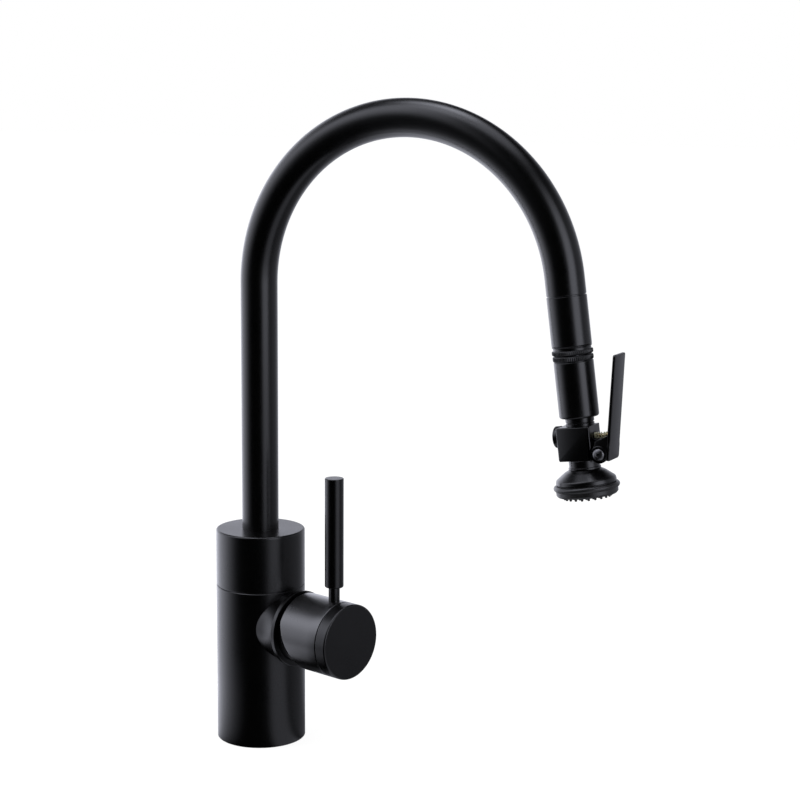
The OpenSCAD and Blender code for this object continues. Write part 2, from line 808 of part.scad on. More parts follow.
// Coil of the return spring, as a ring of points carried along a helix
module return_spring() color(BRASS) on_valve() {
    turns = 6;
    steps = 14;
    sides = 8;
    wire_r = 0.36;
    coil_r = 1.75;
    low = block_out + wire_r;
    high = flange_x - wire_r;
    rings = turns * steps;
    points = [for (i = [0 : rings], k = [0 : sides - 1])
        let (t = 360 * i / steps, a = 360 * k / sides, r = coil_r + wire_r * cos(a))
        [r * cos(t), r * sin(t), low + (high - low) * i / rings + wire_r * sin(a)]];
    sidewalls = [for (i = [0 : rings - 1], k = [0 : sides - 1])
        let (n = (k + 1) % sides, p = i * sides)
        [p + k, p + sides + k, p + sides + n, p + n]];
    ends = [[for (k = [0 : sides - 1]) k],
        [for (k = [sides - 1 : -1 : 0]) rings * sides + k]];
    polyhedron(points, concat(sidewalls, ends));
}

base_shell();
base_gasket();
waterway_core();
swivel_spigot();
thrust_washer();
cartridge_housing();
cartridge_base();
cartridge_seals();
fixed_disc();
bonnet_nut();
cartridge_rotor();
rotor_o_ring();
stem_pin();
moving_disc();
disc_carrier();
cartridge_stem();
handle_drum();
handle_cap();
handle_set_screw();
lever_stem();
lever_rod();
hub_collar();
swivel_bushes();
hub_set_screw();
spout_tube();
ferrule();
dock_liner();
lock_clip();
hose_guide();
spray_hose();
hose_coupling();
lock_ring();
docking_sleeve();
hose_tail();
hose_crimp();
swivel_o_rings();
grip_ring();
grip_sleeve();
wand_waterway();
check_valve();
wand_neck();
valve_block();
bore_plug();
plug_o_ring();
valve_seat();
gland_bush();
pivot_pin();
pivot_clip();
bell_nut();
spray_bell();
distributor_plate();
face_gasket();
spray_face();
face_screw();
squeeze_lever();
plunger();
poppet_seal();
return_spring();
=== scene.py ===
import json
import math

import bmesh
import bpy
import numpy as np
from bpy.props import (FloatProperty, FloatVectorProperty, IntProperty,
                       PointerProperty)
from mathutils import Matrix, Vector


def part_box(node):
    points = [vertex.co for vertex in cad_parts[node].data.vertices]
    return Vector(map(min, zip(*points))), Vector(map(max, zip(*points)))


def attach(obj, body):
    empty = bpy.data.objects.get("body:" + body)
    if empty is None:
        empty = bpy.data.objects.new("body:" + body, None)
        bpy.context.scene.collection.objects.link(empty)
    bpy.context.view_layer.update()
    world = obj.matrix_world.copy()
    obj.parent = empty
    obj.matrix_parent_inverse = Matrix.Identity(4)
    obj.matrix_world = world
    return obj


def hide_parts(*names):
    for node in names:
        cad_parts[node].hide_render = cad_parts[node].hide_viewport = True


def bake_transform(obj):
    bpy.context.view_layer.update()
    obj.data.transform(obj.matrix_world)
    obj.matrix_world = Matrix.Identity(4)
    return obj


bl_info = {
    "name": "Pull-down kitchen faucet",
    "version": (1, 0, 0),
    "blender": (4, 5, 0),
    "location": "3D View > Sidebar > Faucet",
    "description": "Builds the visible pieces, finishes and studio of a kitchen faucet",
    "category": "Add Mesh",
}

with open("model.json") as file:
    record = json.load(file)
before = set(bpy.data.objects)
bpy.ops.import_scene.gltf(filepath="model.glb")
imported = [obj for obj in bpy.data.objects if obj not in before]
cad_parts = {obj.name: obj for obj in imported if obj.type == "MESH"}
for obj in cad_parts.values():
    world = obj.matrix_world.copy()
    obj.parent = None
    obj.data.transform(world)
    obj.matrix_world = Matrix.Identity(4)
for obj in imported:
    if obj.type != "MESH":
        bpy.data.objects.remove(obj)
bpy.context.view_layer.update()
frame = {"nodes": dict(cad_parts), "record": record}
NODES = frame["nodes"]


def width_of(node, axis):
    """Size of a CAD node along an axis (0, 1 or 2), in metres."""
    low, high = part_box(node)
    return high[axis] - low[axis]


# --- Frames that the pieces are worked out in, in millimetres ---


class Place:
    """A right-handed frame: a point (a, b, c) goes to origin + a*x + b*y + c*z."""

    def __init__(self, origin, x, y, z):
        self.origin = np.array(origin, float)
        self.axes = np.array([x, y, z], float)

    def at(self, points):
        return self.origin + np.asarray(points, float) @ self.axes

    def moved(self, a, b, c):
        """The same frame with its origin at the point (a, b, c)."""
        return Place(self.at((a, b, c)), *self.axes)


RISER_TOP = 322.7
BEND_RADIUS = 113.9
BEND_ANGLE = math.radians(172.1)
HANDLE_TURN = math.radians(-14.1)
HANDLE_HEIGHT = 85.4
ROD_DISTANCE = 71.9
# heights above the deck
HUB_FOOT, HUB_CEILING, HUB_TOP = 111.4, 142.5, 150.6
ROD_FOOT, ROD_TOP = 121.2, 196.5
# slant of the handle's skirt in degrees, the room that it has to tilt
TILT_ROOM = 20.3
# distances out along the handle's axis
BONNET_END, SKIRT_END, CAP_START, CAP_END = 44, 43.3, 79, 87.7
# distances down the wand's axis from the end of the bend
TUBE_END, FERRULE_END = 10.7, 42.6
GRIP_TOP, GRIP_FOOT = 52.7, 88.5
BLOCK_TOP, TONGUE_TOP, BLOCK_FOOT = 94.0, 103.4, 115.7
BELL_SEAT, NUT_FOOT, BELL_RIM = 119, 121.6, 130.7
FACE_TOP, FACE_FOOT, NOZZLE_TIP = 131.2, 138.7, 140.4
# distances from the wand's axis towards the squeeze lever
PLUG_END, BLOCK_BACK, BLOCK_FRONT = -17.4, -13.5, 9.3

WORLD = Place((0, 0, 0), (1, 0, 0), (0, 1, 0), (0, 0, 1))
_c, _s = math.cos(HANDLE_TURN), math.sin(HANDLE_TURN)
# z runs out along the handle's axis and x points down
HANDLE = Place((0, 0, HANDLE_HEIGHT), (0, 0, -1), (-_s, _c, 0), (_c, _s, 0))
ROD = Place((ROD_DISTANCE * _c, ROD_DISTANCE * _s, 0), (_c, _s, 0), (-_s, _c, 0), (0, 0, 1))
_c, _s = -math.cos(BEND_ANGLE), math.sin(BEND_ANGLE)
# z runs down the wand from the end of the bend, and x points at the squeeze lever
WAND = Place((BEND_RADIUS * (1 + _c), 0, RISER_TOP + BEND_RADIUS * _s),
             (_c, 0, _s), (0, -1, 0), (_s, 0, -_c))
# the valve's cross bore: z points at the squeeze lever and x points up the wand
VALVE = Place(WAND.at((0, 0, 100.8)), -WAND.axes[2], WAND.axes[1], WAND.axes[0])
# the pivot screw, from the wand's axis towards the lever and down the wand
PIVOT_AT = (14.2, 112.0)
PIVOT = WAND.moved(PIVOT_AT[0], 0, PIVOT_AT[1])
# lean of the squeeze lever from the wand's direction, in degrees
LEVER_LEAN = 9.95
# heading of the studio's front, in degrees from +X
FRONT = -62.0


# --- Surfaces ---


def circle(sides):
    """Angles spread evenly round a circle."""
    return np.arange(sides) * 2 * np.pi / sides


def grid_faces(rows, columns, wrap_rows):
    """Quads of a rows x columns grid: (i, j), (i, j+1), (i+1, j+1), (i+1, j), with the
    columns joined round and the rows joined round too where wrap_rows is true."""
    i = np.arange(rows if wrap_rows else rows - 1)[:, None]
    j = np.arange(columns)[None, :]
    i2, j2 = (i + 1) % rows, (j + 1) % columns
    return np.stack([i * columns + j, i * columns + j2, i2 * columns + j2, i2 * columns + j],
                    -1).reshape(-1, 4)


def outwards(points, quads, caps=()):
    """One closed shell (points, faces) with its faces outwards. The sign of its volume,
    the sum of a . (b x c) / 6 over its triangles, says which way they point."""
    def volume(a, b, c):
        return np.einsum("ij,ij->", points[a], np.cross(points[b], points[c]))

    total = volume(quads[:, 0], quads[:, 1], quads[:, 2])
    total += volume(quads[:, 0], quads[:, 2], quads[:, 3])
    for cap in caps:
        total += volume(np.full(len(cap) - 2, cap[0]), cap[1:-1], cap[2:])
    if total < 0:
        quads, caps = quads[:, ::-1], [cap[::-1] for cap in caps]
    return points, quads.tolist() + [list(map(int, cap)) for cap in caps]


def capped(points, rows, columns):
    """One closed shell from a rows x columns grid: a tube with a flat face at each end."""
    ring = np.arange(columns)
    caps = [ring[::-1], ring + (rows - 1) * columns]
    return outwards(points, grid_faces(rows, columns, False), caps)


def eased(corners, closed=False, steps=5):
    """Outline through corners (a, b, radius). A corner with a radius becomes an arc,
    start + radius * (sin t * before + (1 - cos t) * side) for t from 0 to the turn, with
    one more point on each straight beside it, so that flat faces shade flat."""
    points = np.array([corner[:2] for corner in corners], float)
    count, parts = len(corners), []
    for i, (_, _, radius) in enumerate(corners):
        if radius == 0 or (not closed and i in (0, count - 1)):
            parts.append(points[i][None])
            continue
        before = points[i] - points[i - 1]
        after = points[(i + 1) % count] - points[i]
        before, after = before / np.linalg.norm(before), after / np.linalg.norm(after)
        turn = math.acos(float(np.clip(before @ after, -1, 1)))
        side = (after - math.cos(turn) * before) / math.sin(turn)
        start = points[i] - before * radius * math.tan(turn / 2)
        t = np.linspace(0, turn, steps + 1)[:, None]
        arc = start + radius * (np.sin(t) * before + (1 - np.cos(t)) * side)
        guard = 0.2 * radius
        parts.append(np.vstack([start - before * guard, arc, arc[-1] + after * guard]))
    return np.vstack(parts)


def turned(place, profile, sides=144, closed=False):
    """Surface of revolution about the frame's z axis: the profile's point (r, h) goes to
    (r cos t, r sin t, h) for t round the circle. An r that has a value for every side
    gives a waisted, knurled or keyed form. An open profile starts and ends on the axis."""
    r = np.array([np.broadcast_to(point[0], sides) for point in profile], float)
    h = np.array([np.broadcast_to(point[1], sides) for point in profile], float)
    t = circle(sides)
    points = np.stack([r * np.cos(t), r * np.sin(t), h], -1).reshape(-1, 3)
    return outwards(place.at(points), grid_faces(len(profile), sides, closed))


def lathed(place, corners, sides=144):
    """A hollow part turned from the closed outline through corners (r, h, radius)."""
    return turned(place, eased(corners, closed=True), sides, closed=True)


def inset(outline, distance):
    """The closed outline moved inwards: each point p goes to p - distance * n, where n is
    the mean of the normals of the two edges beside it."""
    edges = np.roll(outline, -1, 0) - outline
    normals = np.stack([edges[:, 1], -edges[:, 0]], -1)
    normals /= np.linalg.norm(normals, axis=1)[:, None] + 1e-12
    area = np.sum(outline[:, 0] * np.roll(outline[:, 1], -1)
                  - np.roll(outline[:, 0], -1) * outline[:, 1])
    mean = normals + np.roll(normals, 1, 0)
    mean /= np.linalg.norm(mean, axis=1)[:, None] + 1e-12
    return outline - distance * np.sign(area) * mean


def slab(place, outline, low, high, bevel, middles=()):
    """A plate with rounded edges: the outline in the frame's x and y, carried along z
    from low to high. Near each end it is inset by bevel * (1 - cos t) while z moves by
    bevel * (1 - sin t), a quarter circle. low and high may have a value for each point of
    the outline, for a plate that tapers. middles holds (z, outline) pairs that the
    section passes through on its way."""
    rows = [(bevel * (1 - math.sin(t)), inset(outline, bevel * (1 - math.cos(t))))
            for t in np.linspace(np.pi / 2, 0, 6)]
    levels = ([(low + z, section) for z, section in rows] + list(middles)
              + [(high - z, section) for z, section in rows[::-1]])
    points = np.vstack([np.column_stack([section, np.broadcast_to(z, len(section))])
                        for z, section in levels])
    return capped(place.at(points), len(levels), len(outline))


def pipe(centres, across, beside, radii, sides, closed):
    """A pipe carried along a path: the point with angle t of a ring is
    centre + r * (cos t * across + sin t * beside). radii has one r for each ring."""
    t = circle(sides)
    ring = (np.cos(t)[None, :, None] * across[:, None]
            + np.sin(t)[None, :, None] * beside[:, None])
    points = (centres[:, None] + np.asarray(radii)[:, None, None] * ring).reshape(-1, 3)
    if closed:
        return outwards(points, grid_faces(len(centres), sides, True))
    return capped(points, len(centres), sides)


def add_object(name, data):
    made = bpy.data.objects.new(name, data)
    bpy.context.scene.collection.objects.link(made)
    return made


def make_piece(name, shells, body, node, coat=None, sharp=32, slot="black_body"):
    """Puts closed shells, worked out in millimetres, into one smooth-shaded object that
    stands for a CAD node. It has the finish of its slot, or a coat of its own."""
    points, faces = [], []
    for shell_points, shell_faces in shells:
        start = sum(len(part) for part in points)
        faces += [[start + k for k in face] for face in shell_faces]
        points.append(shell_points)
    mesh = bpy.data.meshes.new(name)
    mesh.from_pydata((np.vstack(points) / 1000).tolist(), [], faces)
    work = bmesh.new()
    work.from_mesh(mesh)
    bmesh.ops.remove_doubles(work, verts=work.verts, dist=1e-8)
    work.to_mesh(mesh)
    work.free()
    mesh.polygons.foreach_set("use_smooth", np.ones(len(mesh.polygons), bool))
    mesh.set_sharp_from_angle(angle=math.radians(sharp))
    mesh.materials.append(coat or finish_of(slot))
    mesh.update()
    piece = add_object(name, mesh)
    if body:
        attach(piece, body)
    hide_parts(node)
    return piece


# --- Finishes ---


class Wire:
    """A shader socket. Python's operators on it add Math nodes."""

    def __init__(self, shader, socket):
        self.shader = shader
        self.socket = socket

    def __add__(self, other):
        return self.shader.maths("ADD", self, other)

    def __sub__(self, other):
        return self.shader.maths("SUBTRACT", self, other)

    def __rsub__(self, other):
        return self.shader.maths("SUBTRACT", other, self)

    def __mul__(self, other):
        return self.shader.maths("MULTIPLY", self, other)

    def clamped(self):
        """The value held between 0 and 1."""
        return self.shader.node("ShaderNodeClamp", {}, {"Value": self})

    __radd__ = __add__
    __rmul__ = __mul__


class Shader:
    """The node tree of one material or of the world."""

    def __init__(self, owner):
        owner.use_nodes = True
        self.tree = owner.node_tree
        self.tree.nodes.clear()

    def node(self, kind, settings=None, inputs=None, output=0):
        """Adds a node: its settings first, then the values or links of its sockets.
        Returns one of its outputs."""
        made = self.tree.nodes.new(kind)
        for key, value in (settings or {}).items():
            setattr(made, key, value)
        for key, value in (inputs or {}).items():
            if isinstance(value, Wire):
                self.tree.links.new(value.socket, made.inputs[key])
            else:
                made.inputs[key].default_value = value
        return Wire(self, made.outputs[output]) if made.outputs else None

    def maths(self, operation, *values):
        return self.node("ShaderNodeMath", {"operation": operation}, dict(enumerate(values)))

    def vector(self, operation, *values, output=0):
        return self.node("ShaderNodeVectorMath", {"operation": operation},
                         dict(enumerate(values)), output)

    def here(self, scale=(1, 1, 1)):
        """Object coordinates, stretched."""
        place = self.node("ShaderNodeTexCoord", output="Object")
        return self.node("ShaderNodeMapping", {}, {"Vector": place, "Scale": scale})

    def noise(self, scale, detail, stretch=(1, 1, 1)):
        return self.node("ShaderNodeTexNoise", {}, {
            "Vector": self.here(stretch), "Scale": scale, "Detail": detail,
            "Roughness": 0.55})

    def blend(self, factor, first, second):
        """Colour that goes from first to second as factor goes from 0 to 1."""
        return self.node("ShaderNodeMix", {"data_type": "RGBA"},
                         {0: factor, 6: first, 7: second}, output=2)

    def bump(self, height, depth, strength=1.0):
        """Normal pushed by height, where 1 stands depth metres proud."""
        return self.node("ShaderNodeBump", {}, {
            "Height": height, "Distance": depth, "Strength": strength})

    def surface(self, **sockets):
        """Principled surface on the output."""
        made = self.node("ShaderNodeBsdfPrincipled", {}, {
            key.replace("_", " "): value for key, value in sockets.items()})
        self.node("ShaderNodeOutputMaterial", {}, {"Surface": made})


def finish(name, build):
    """The material called name, built once by build(shader, settings)."""
    if name not in bpy.data.materials:
        build(Shader(bpy.data.materials.new(name)), bpy.context.scene.faucet_finish)
    return bpy.data.materials[name]


def shade(colour, red=1, green=1, blue=1):
    """The colour with each channel multiplied, and an alpha of 1."""
    return colour[0] * red, colour[1] * green, colour[2] * blue, 1


def powder_coat(shader, settings):
    """Matt black powder coat: a fine orange-peel skin and faint, cloudy wear."""
    cloud = shader.noise(38, 4)
    peel = shader.noise(1500, 2)
    speck = shader.noise(4200, 1)
    shader.surface(
        Base_Color=shader.blend((cloud * 1.6 - 0.3).clamped(), shade(settings.black),
                                shade(settings.black, 1.5, 1.5, 1.55)),
        Roughness=cloud * 0.1 + (settings.black_roughness - 0.05) + (speck - 0.5) * 0.08,
        Specular_IOR_Level=0.5,
        Normal=shader.bump(peel * 0.7 + speck * 0.3, 0.00004, 0.35))


def crowned_coat(shader, settings):
    """The powder coat on faces ground slightly crowned: as a distance u from the middle
    of the block along the lever's side, the height falls by 8 * u squared."""
    along = shader.vector("DOT_PRODUCT", shader.here(), tuple(WAND.axes[0]), output="Value")
    u = along - float(WAND.at((1, 0, 104.5)) @ WAND.axes[0]) / 1000
    peel = shader.noise(1500, 2)
    shader.surface(
        Base_Color=shade(settings.black),
        Roughness=peel * 0.08 + (settings.black_roughness - 0.04),
        Normal=shader.bump(peel * 0.00001 - u * u * 8.0, 1.0))


def lacquered_coat(shader, settings):
    """The powder coat under clear lacquer, on the part that the hand wears most."""
    cloud = shader.noise(38, 4)
    peel = shader.noise(1500, 2)
    shader.surface(
        Base_Color=shade(settings.black),
        Roughness=cloud * 0.1 + (settings.black_roughness - 0.05),
        Specular_IOR_Level=0.9,
        Coat_Weight=cloud * 0.3 + 0.6,
        Coat_Roughness=0.3,
        Normal=shader.bump(peel, 0.00003, 0.35))


def moulded_rubber(shader, settings):
    """Soft black rubber: dry and dusty, with a very fine moulded grain."""
    grain = shader.noise(2600, 3)
    dust = shader.noise(110, 4)
    shader.surface(
        Base_Color=shader.blend((dust * 1.8 - 0.5).clamped(), shade(settings.rubber),
                                shade(settings.rubber, 2.2, 2.2, 2.2)),
        Roughness=dust * 0.14 + 0.3,
        Normal=shader.bump(grain, 0.00005, 0.5))


def turned_brass(shader, settings):
    """Brass with fine turning marks and patches of tarnish."""
    marks = shader.noise(1, 2, (60, 60, 2600))
    tarnish = shader.noise(260, 4)
    shader.surface(
        Base_Color=shader.blend((tarnish * 2.2 - 0.7).clamped(), shade(settings.brass),
                                shade(settings.brass, 0.6, 0.5, 0.35)),
        Metallic=1.0,
        Roughness=tarnish * 0.2 + 0.2,
        Normal=shader.bump(marks, 0.00003, 0.3))


def spring_brass(shader, settings):
    """Brass spring wire, dulled to a pale olive by its passivated film."""
    film = shader.noise(400, 3)
    shader.surface(
        Base_Color=shader.blend(film, (0.80, 0.78, 0.56, 1), (0.60, 0.60, 0.43, 1)),
        Metallic=0.6,
        Roughness=film * 0.15 + 0.3)


def black_oxide(shader, settings):
    """Black oxide on a steel screw, worn a little bright."""
    wear = shader.noise(420, 4)
    shader.surface(
        Base_Color=shader.blend(wear, (0.09, 0.09, 0.092, 1), (0.19, 0.19, 0.195, 1)),
        Metallic=1.0,
        Roughness=wear * 0.2 + 0.25,
        Normal=shader.bump(wear, 0.00004, 0.4))


def brushed_steel(shader, settings):
    """Stainless steel with a fine ground grain along its length."""
    marks = shader.noise(1, 2, (2400, 2400, 90))
    cloud = shader.noise(90, 3)
    shader.surface(
        Base_Color=shader.blend(cloud, shade(settings.steel),
                                shade(settings.steel, 0.8, 0.8, 0.82)),
        Metallic=1.0,
        Roughness=marks * 0.14 + 0.2,
        Normal=shader.bump(marks, 0.00002, 0.25))


def lapped_ceramic(shader, settings):
    """Off-white ceramic disc, lapped almost to a mirror."""
    cloud = shader.noise(160, 3)
    shader.surface(
        Base_Color=shader.blend(cloud, (0.80, 0.79, 0.75, 1), (0.74, 0.73, 0.69, 1)),
        Roughness=cloud * 0.08 + 0.1)


def acetal(shader, settings):
    """Pale moulded acetal with a soft, slightly uneven gloss."""
    cloud = shader.noise(140, 4)
    grain = shader.noise(1800, 2)
    shader.surface(
        Base_Color=shader.blend(cloud, (0.70, 0.68, 0.62, 1), (0.62, 0.60, 0.54, 1)),
        Roughness=cloud * 0.15 + 0.32,
        Normal=shader.bump(grain, 0.00003, 0.3))


def black_acetal(shader, settings):
    """Black moulded acetal, a little glossier than the powder coat."""
    grain = shader.noise(1800, 2)
    shader.surface(
        Base_Color=(0.004, 0.004, 0.0045, 1),
        Roughness=grain * 0.1 + 0.25,
        Normal=shader.bump(grain, 0.00002, 0.3))


def nylon_braid(shader, settings):
    """Black braided nylon: two sets of strands that wind round the hose both ways, as
    waves of the angle plus and minus the height."""
    place = shader.node("ShaderNodeTexCoord", output="Object")
    y, z = (shader.node("ShaderNodeSeparateXYZ", {}, {0: place}, output=k) for k in (1, 2))
    pitch = 3600  # radians of wave per metre
    weave = (shader.maths("SINE", (y + z) * pitch) * shader.maths("SINE", (y - z) * pitch)
             * 0.5 + 0.5)
    fuzz = shader.noise(3000, 2)
    shader.surface(
        Base_Color=shader.blend((weave * 0.7 + fuzz * 0.3).clamped(),
                                (0.008, 0.008, 0.009, 1), (0.035, 0.035, 0.038, 1)),
        Roughness=0.62 - weave * 0.16,
        Normal=shader.bump(weave, 0.0002, 0.7))


FINISH_OF_SLOT = {
    "black_body": ("black powder coat", powder_coat),
    "rubber": ("moulded rubber", moulded_rubber),
    "brass": ("turned brass", turned_brass),
    "steel": ("brushed steel", brushed_steel),
    "ceramic": ("lapped ceramic", lapped_ceramic),
    "plastic": ("acetal", acetal),
    "nylon": ("nylon braid", nylon_braid),
}


def finish_of(slot):
    return finish(*FINISH_OF_SLOT[slot])


def coat_node(name, material):
    """Gives a CAD node its one material."""
    slots = NODES[name].data.materials
    slots.clear()
    slots.append(material)


# --- Settings ---


class FaucetSizes(bpy.types.PropertyGroup):
    body_radius: FloatProperty(
        name="Body radius", description="Radius of the base and of the turning hub",
        default=width_of("hub_collar", 0) / 2, unit="LENGTH")
    tube_radius: FloatProperty(
        name="Tube radius", description="Outside radius of the spout tube",
        default=width_of("spout_tube", 1) / 2, unit="LENGTH")
    tube_wall: FloatProperty(
        name="Tube wall", description="Wall thickness of the spout tube",
        default=0.0012, unit="LENGTH")
    rod_radius: FloatProperty(
        name="Rod radius", description="Radius of the lever rod",
        default=width_of("lever_rod", 0) / 2, unit="LENGTH")
    grip_radius: FloatProperty(
        name="Grip radius", description="Radius of the wand's grip",
        default=width_of("grip_sleeve", 1) / 2, unit="LENGTH")
    face_radius: FloatProperty(
        name="Face radius", description="Radius of the rubber spray face",
        default=width_of("spray_face", 1) / 2, unit="LENGTH")
    lever_width: FloatProperty(
        name="Lever width", description="Width of the squeeze lever",
        default=width_of("squeeze_lever", 1), unit="LENGTH")
    knurl_teeth: IntProperty(
        name="Knurl teeth", description="Teeth round each knurled ring", default=64)
    spring_turns: IntProperty(
        name="Spring turns", description="Turns of the return spring", default=6)


class FaucetFinish(bpy.types.PropertyGroup):
    black: FloatVectorProperty(
        name="Black", description="Colour of the powder coat", subtype="COLOR",
        default=(0.0004, 0.0004, 0.00045))
    black_roughness: FloatProperty(
        name="Coat roughness", description="Roughness of the powder coat",
        default=0.29, min=0.05, max=1, subtype="FACTOR")
    rubber: FloatVectorProperty(
        name="Rubber", description="Colour of the rubber", subtype="COLOR",
        default=(0.006, 0.006, 0.0065))
    brass: FloatVectorProperty(
        name="Brass", description="Colour of bare brass", subtype="COLOR",
        default=(0.66, 0.57, 0.36))
    steel: FloatVectorProperty(
        name="Steel", description="Colour of stainless steel", subtype="COLOR",
        default=(0.56, 0.57, 0.58))
    backdrop: FloatVectorProperty(
        name="Backdrop", description="Colour of the floor and the background",
        subtype="COLOR", default=(1.0, 1.0, 1.0))


def sizes():
    return bpy.context.scene.faucet_sizes


def mm(length):
    return length * 1000


def metres(place, height):
    """The point of a frame's z axis at a height in millimetres, in metres."""
    return tuple(place.at((0, 0, height)) / 1000)


# --- Pieces ---


class FAUCET_OT_base_shell(bpy.types.Operator):
    """Base shell: a plain cylinder with the flared neck that the handle stands on"""
    bl_idname = "faucet.base_shell"
    bl_label = "Base shell"

    def execute(self, context):
        coat_node("base_shell", finish_of("black_body"))
        return {"FINISHED"}


class FAUCET_OT_hub(bpy.types.Operator):
    """Hub: the top of the body, above the thin seam, that turns with the spout"""
    bl_idname = "faucet.hub"
    bl_label = "Turning hub"

    def execute(self, context):
        r = mm(sizes().body_radius)
        bore, hole = 20.6, 12.7
        wall = [(bore, HUB_FOOT, 0), (r, HUB_FOOT, 0.3), (r, HUB_TOP, 1.3),
                (hole, HUB_TOP, 0), (hole, HUB_CEILING, 0), (bore, HUB_CEILING, 0)]
        make_piece("turning_hub", [lathed(WORLD, wall)], "spout", "hub_collar")
        return {"FINISHED"}


def spout_path(low, past_end):
    """The spout's centreline: up the riser from the height low, round the bend as
    (R - R cos t, 0, H + R sin t), and straight on. Returns the points and, for each, the
    direction away from the bend's centre in the plane of the bend."""
    riser = np.linspace(low, RISER_TOP, 8)[:-1]
    t = np.linspace(0, BEND_ANGLE, 140)
    bend = np.stack([BEND_RADIUS * (1 - np.cos(t)), 0 * t,
                     RISER_TOP + BEND_RADIUS * np.sin(t)], -1)
    away = np.stack([-np.cos(t), 0 * t, np.sin(t)], -1)
    end = WAND.at([[0, 0, s] for s in (past_end / 2, past_end - 0.25, past_end)])
    points = np.vstack([np.stack([0 * riser, 0 * riser, riser], -1), bend, end])
    across = np.vstack([np.tile(away[0], (len(riser), 1)), away,
                        np.tile(away[-1], (len(end), 1))])
    return points, across


class FAUCET_OT_spout(bpy.types.Operator):
    """Spout: riser and arch drawn in one bent tube"""
    bl_idname = "faucet.spout"
    bl_label = "Spout tube"

    def execute(self, context):
        r = mm(sizes().tube_radius)
        inner = r - mm(sizes().tube_wall)
        points, across = spout_path(HUB_CEILING, TUBE_END)
        centres = np.vstack([points, points[::-1]])
        across = np.vstack([across, across[::-1]])
        radii = np.concatenate([np.full(len(points) - 1, r), [r - 0.2],
                                np.full(len(points), inner)])
        beside = np.tile((0.0, 1.0, 0.0), (len(centres), 1))
        make_piece("spout_pipe", [pipe(centres, across, beside, radii, 112, True)], "spout",
                   "spout_tube")
        return {"FINISHED"}


class FAUCET_OT_ferrule(bpy.types.Operator):
    """Ferrule: the spout's end piece, which the wand docks in"""
    bl_idname = "faucet.ferrule"
    bl_label = "Ferrule"

    def execute(self, context):
        r, bore, seam, shoulder = 12.8, 10.4, 12.1, TUBE_END + 0.75
        wall = [(bore, 4, 0), (11.4, 4, 0.3), (11.4, TUBE_END, 0), (seam, TUBE_END, 0),
                (seam, shoulder, 0), (r, shoulder, 0.25), (r, FERRULE_END, 0.35),
                (11, FERRULE_END, 0), (11, 45.2, 0.3), (9.5, 45.2, 0.3), (9.5, 41, 0),
                (bore, 41, 0)]
        make_piece("spout_ferrule", [lathed(WAND, wall, 176)], "spout", "ferrule")
        return {"FINISHED"}


class FAUCET_OT_handle(bpy.types.Operator):
    """Mixer handle: the drum with its slanted skirt, and its flat cap"""
    bl_idname = "faucet.handle"
    bl_label = "Mixer handle"

    def execute(self, context):
        sides, r, middle = 160, 25.9, 47.2
        t = circle(sides)
        slope = math.tan(math.radians(TILT_ROOM))

        def skirt(out, rise=0):
            """Profile point at radius out, rise above the skirt's edge, which is where the
            slanted plane or the square end is."""
            return out, np.maximum(SKIRT_END, middle + slope * out * np.cos(t)) + rise

        drum = turned(HANDLE, [
            (0, 52), (9, 52), (9, 62), (23.4, 62), skirt(23.4, 0.35), skirt(23.5, 0.12),
            skirt(23.75), skirt(25.2), skirt(25.35, 0.04), skirt(25.75, 0.4),
            skirt(25.87, 0.6), skirt(r, 0.8), skirt(r, 1), (r, 70), (r, 78.1), (25.87, 78.3),
            (25.76, 78.44), (25.4, 78.5), (25.4, CAP_START), (0, CAP_START)], sides)
        cap = turned(HANDLE, eased([
            (0, CAP_START, 0), (r - 0.45, CAP_START, 0.12), (r, CAP_START + 0.45, 0.12),
            (r, CAP_END, 1.1), (0, CAP_END, 0)]), sides)
        make_piece("mixer_drum", [drum], "handle", "handle_drum",
                   finish("lacquered powder coat", lacquered_coat))
        make_piece("mixer_cap", [cap], "handle", "handle_cap")
        return {"FINISHED"}


class FAUCET_OT_rod(bpy.types.Operator):
    """Lever rod: a thick rod that stands on a thin stem"""
    bl_idname = "faucet.rod"
    bl_label = "Lever rod"

    def execute(self, context):
        r = mm(sizes().rod_radius)
        stem_r, stem_foot, stem_top = 3.8, 103.3, 129
        rod = turned(ROD, eased([(0, ROD_FOOT, 0), (r, ROD_FOOT, 0.9), (r, ROD_TOP, 0.5),
                                 (0, ROD_TOP, 0)]), 96)
        stem = turned(ROD, [(0, stem_foot), (stem_r, stem_foot), (stem_r, stem_top),
                            (0, stem_top)], 64)
        make_piece("mixer_rod", [rod], "handle", "lever_rod")
        make_piece("mixer_stem", [stem], "handle", "lever_stem")
        return {"FINISHED"}


class FAUCET_OT_bonnet(bpy.types.Operator):
    """Bonnet nut: the collar seen in the gap behind the handle"""
    bl_idname = "faucet.bonnet"
    bl_label = "Bonnet nut"

    def execute(self, context):
        bore, thread, r = 14, 19.4, 22.4
        wall = [(bore, 33, 0), (thread, 33, 0), (thread, 38, 0), (r, 38, 0.3),
                (r, BONNET_END, 0.8), (bore, BONNET_END, 0.3)]
        make_piece("bonnet_collar", [lathed(HANDLE, wall)], "base", "bonnet_nut")
        return {"FINISHED"}


def band(radius, low, high, bulge, depth, teeth, sides):
    """Profile of a knurled band from low to high. Its radius is the given one less
    bulge * |u| ** 5, where u goes from -1 to 1 along it, and less a knurl,
    depth * (1 - |u| ** 8) * (1 - cos of teeth times the angle) / 2."""
    t = circle(sides)
    waves = (1 - np.cos(teeth * t)) / 2
    return [(radius - bulge * abs(u) ** 5 - depth * (1 - abs(u) ** 8) * waves,
             (low + high) / 2 + u * (high - low) / 2)
            for u in (-1, -0.96, -0.9, -0.8, -0.65, -0.4, 0, 0.4, 0.65, 0.8, 0.9, 0.96, 1)]


